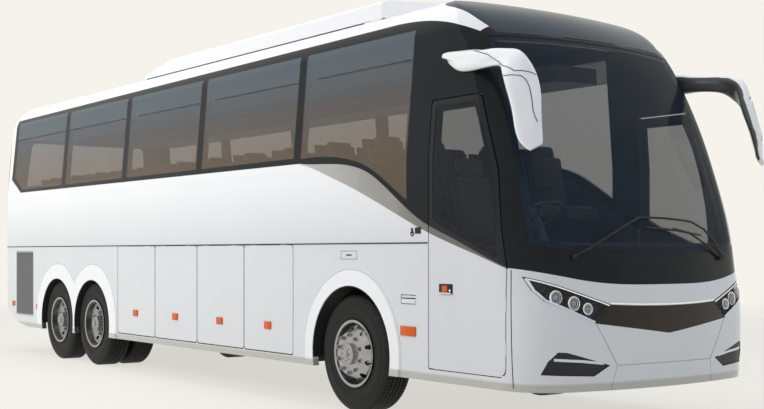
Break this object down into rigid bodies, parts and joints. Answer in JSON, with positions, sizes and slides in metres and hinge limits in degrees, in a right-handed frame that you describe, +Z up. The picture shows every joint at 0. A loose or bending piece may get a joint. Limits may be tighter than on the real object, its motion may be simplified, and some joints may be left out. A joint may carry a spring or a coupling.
{
  "type": "three-axle touring coach bus",
  "caption": "Long high-floor touring coach with tinted side glass, swoosh accent, driver's door, luggage flaps, engine lid, steered front wheels and roof pod.",
  "frame": {"origin": "on the ground under the middle of the coach's length and width", "axes": "+X forward along the coach, +Y to its left side, +Z up"},
  "size_m": [11.6045, 2.8546, 3.7198],
  "materials": {
    "body_white": "gloss",
    "band_black": "gloss",
    "accent_grey": "metallic",
    "cap_dark": "gloss",
    "grille_bronze": "gloss",
    "lamp_chrome": "polished",
    "lamp_clear": "clear",
    "trim_black": "satin",
    "windscreen_glass": "tinted",
    "side_glass": "tinted",
    "lamp_red": "gloss",
    "louvre_grey": "satin",
    "mirror_pane": "polished",
    "cab_plastic": "satin",
    "seat_fabric": "woven",
    "rack_plastic": "satin",
    "engine_iron": "painted",
    "chassis_paint": "satin",
    "floor_steel": "satin",
    "axle_iron": "rough",
    "tyre": "matte",
    "wheel_alloy": "polished"
  },
  "bodies": {
    "root": {"floor_structure": "floor_steel", "chassis_frame": "chassis_paint", "side_wall_right": "body_white", "side_wall_left": "body_white", "window_band_right": "band_black", "window_band_left": "band_black", "side_accents": "accent_grey", "roof": "body_white", "roof_pod": "body_white", "front_cap": "cap_dark", "front_frame": "band_black", "front_bumper": "body_white", "grille_panel": "grille_bronze", "front_lamps": "lamp_chrome", "lamp_lenses": "lamp_clear", "fog_inserts": "trim_black", "windscreen": "windscreen_glass", "side_glass": "side_glass", "rear_wall": "body_white", "rear_lamps": "lamp_red", "radiator_grilles": "louvre_grey", "wipers": "trim_black", "mirrors": "body_white", "mirror_glasses": "mirror_pane", "dashboard": "cab_plastic", "driver_seat": "seat_fabric", "passenger_seats": "seat_fabric", "parcel_racks": "rack_plastic", "engine_block": "engine_iron", "front_axle": "chassis_paint", "rear_axles": "chassis_paint", "passenger_door": "body_white"},
    "driver_door": {"driver_door": "body_white", "driver_door_accent": "accent_grey", "driver_door_glass": "side_glass"},
    "engine_lid": {"engine_lid": "body_white"},
    "steering_wheel": {"steering_wheel": "cab_plastic"},
    "knuckle_right": {"knuckle_right": "axle_iron"},
    "knuckle_left": {"knuckle_left": "axle_iron"},
    "luggage_flap_right_1": {"luggage_flap_right_1": "body_white"},
    "luggage_flap_right_2": {"luggage_flap_right_2": "body_white"},
    "luggage_flap_right_3": {"luggage_flap_right_3": "body_white"},
    "luggage_flap_right_4": {"luggage_flap_right_4": "body_white"},
    "wheel_front_right": {"tyre_front_right": "tyre", "rim_front_right": "wheel_alloy"},
    "wheel_drive_right": {"tyre_drive_right": "tyre", "rim_drive_right": "wheel_alloy"},
    "wheel_tag_right": {"tyre_tag_right": "tyre", "rim_tag_right": "wheel_alloy"},
    "luggage_flap_left_1": {"luggage_flap_left_1": "body_white"},
    "luggage_flap_left_2": {"luggage_flap_left_2": "body_white"},
    "luggage_flap_left_3": {"luggage_flap_left_3": "body_white"},
    "luggage_flap_left_4": {"luggage_flap_left_4": "body_white"},
    "wheel_front_left": {"tyre_front_left": "tyre", "rim_front_left": "wheel_alloy"},
    "wheel_drive_left": {"tyre_drive_left": "tyre", "rim_drive_left": "wheel_alloy"},
    "wheel_tag_left": {"tyre_tag_left": "tyre", "rim_tag_left": "wheel_alloy"}
  },
  "joints": [
    {"name": "luggage_flap_right_1_hinge", "type": "hinge", "parent": "root", "child": "luggage_flap_right_1", "pos_m": [-1.2145, -1.275, 1.4985], "axis": [-1, 0, 0], "range_deg": [0, 90]},
    {"name": "luggage_flap_right_2_hinge", "type": "hinge", "parent": "root", "child": "luggage_flap_right_2", "pos_m": [-0.1835, -1.275, 1.4985], "axis": [-1, 0, 0], "range_deg": [0, 90]},
    {"name": "luggage_flap_right_3_hinge", "type": "hinge", "parent": "root", "child": "luggage_flap_right_3", "pos_m": [0.84, -1.275, 1.4985], "axis": [-1, 0, 0], "range_deg": [0, 90]},
    {"name": "luggage_flap_right_4_hinge", "type": "hinge", "parent": "root", "child": "luggage_flap_right_4", "pos_m": [1.8215, -1.275, 1.4985], "axis": [-1, 0, 0], "range_deg": [0, 90]},
    {"name": "wheel_front_right_spin", "type": "hinge", "parent": "knuckle_right", "child": "wheel_front_right", "pos_m": [3.25, -1.1, 0.522], "axis": [0, 1, 0], "continuous": true},
    {"name": "wheel_drive_right_spin", "type": "hinge", "parent": "root", "child": "wheel_drive_right", "pos_m": [-2.5, -1.1, 0.522], "axis": [0, 1, 0], "continuous": true},
    {"name": "wheel_tag_right_spin", "type": "hinge", "parent": "root", "child": "wheel_tag_right", "pos_m": [-3.65, -1.1, 0.522], "axis": [0, 1, 0], "continuous": true},
    {"name": "luggage_flap_left_1_hinge", "type": "hinge", "parent": "root", "child": "luggage_flap_left_1", "pos_m": [-1.2145, 1.275, 1.4985], "axis": [1, 0, 0], "range_deg": [0, 90]},
    {"name": "luggage_flap_left_2_hinge", "type": "hinge", "parent": "root", "child": "luggage_flap_left_2", "pos_m": [-0.1835, 1.275, 1.4985], "axis": [1, 0, 0], "range_deg": [0, 90]},
    {"name": "luggage_flap_left_3_hinge", "type": "hinge", "parent": "root", "child": "luggage_flap_left_3", "pos_m": [0.84, 1.275, 1.4985], "axis": [1, 0, 0], "range_deg": [0, 90]},
    {"name": "luggage_flap_left_4_hinge", "type": "hinge", "parent": "root", "child": "luggage_flap_left_4", "pos_m": [1.8215, 1.275, 1.4985], "axis": [1, 0, 0], "range_deg": [0, 90]},
    {"name": "wheel_front_left_spin", "type": "hinge", "parent": "knuckle_left", "child": "wheel_front_left", "pos_m": [3.25, 1.1, 0.522], "axis": [0, 1, 0], "continuous": true},
    {"name": "wheel_drive_left_spin", "type": "hinge", "parent": "root", "child": "wheel_drive_left", "pos_m": [-2.5, 1.1, 0.522], "axis": [0, 1, 0], "continuous": true},
    {"name": "wheel_tag_left_spin", "type": "hinge", "parent": "root", "child": "wheel_tag_left", "pos_m": [-3.65, 1.1, 0.522], "axis": [0, 1, 0], "continuous": true},
    {"name": "steer_right", "type": "hinge", "parent": "root", "child": "knuckle_right", "pos_m": [3.25, -0.93, 0.522], "axis": [0, 0, 1], "range_deg": [-40, 40]},
    {"name": "steer_left", "type": "hinge", "parent": "root", "child": "knuckle_left", "pos_m": [3.25, 0.93, 0.522], "axis": [0, 0, 1], "range_deg": [-40, 40]},
    {"name": "steering_wheel_turn", "type": "hinge", "parent": "root", "child": "steering_wheel", "pos_m": [4.97, -0.64, 1.7], "axis": [-0.4695, 0, 0.8829], "range_deg": [-720, 720]},
    {"name": "driver_door_hinge", "type": "hinge", "parent": "root", "child": "driver_door", "pos_m": [5.3145, -1.275, 1.3], "axis": [0, 0, 1], "range_deg": [0, 80]},
    {"name": "engine_lid_hinge", "type": "hinge", "parent": "root", "child": "engine_lid", "pos_m": [-5.7974, 0, 1.7965], "axis": [0, 1, 0], "range_deg": [0, 75]}
  ],
  "couplings": [
    {"joint": "steer_left", "follows": "steer_right", "ratio": 1},
    {"joint": "steering_wheel_turn", "follows": "steer_right", "ratio": 17}
  ]
}
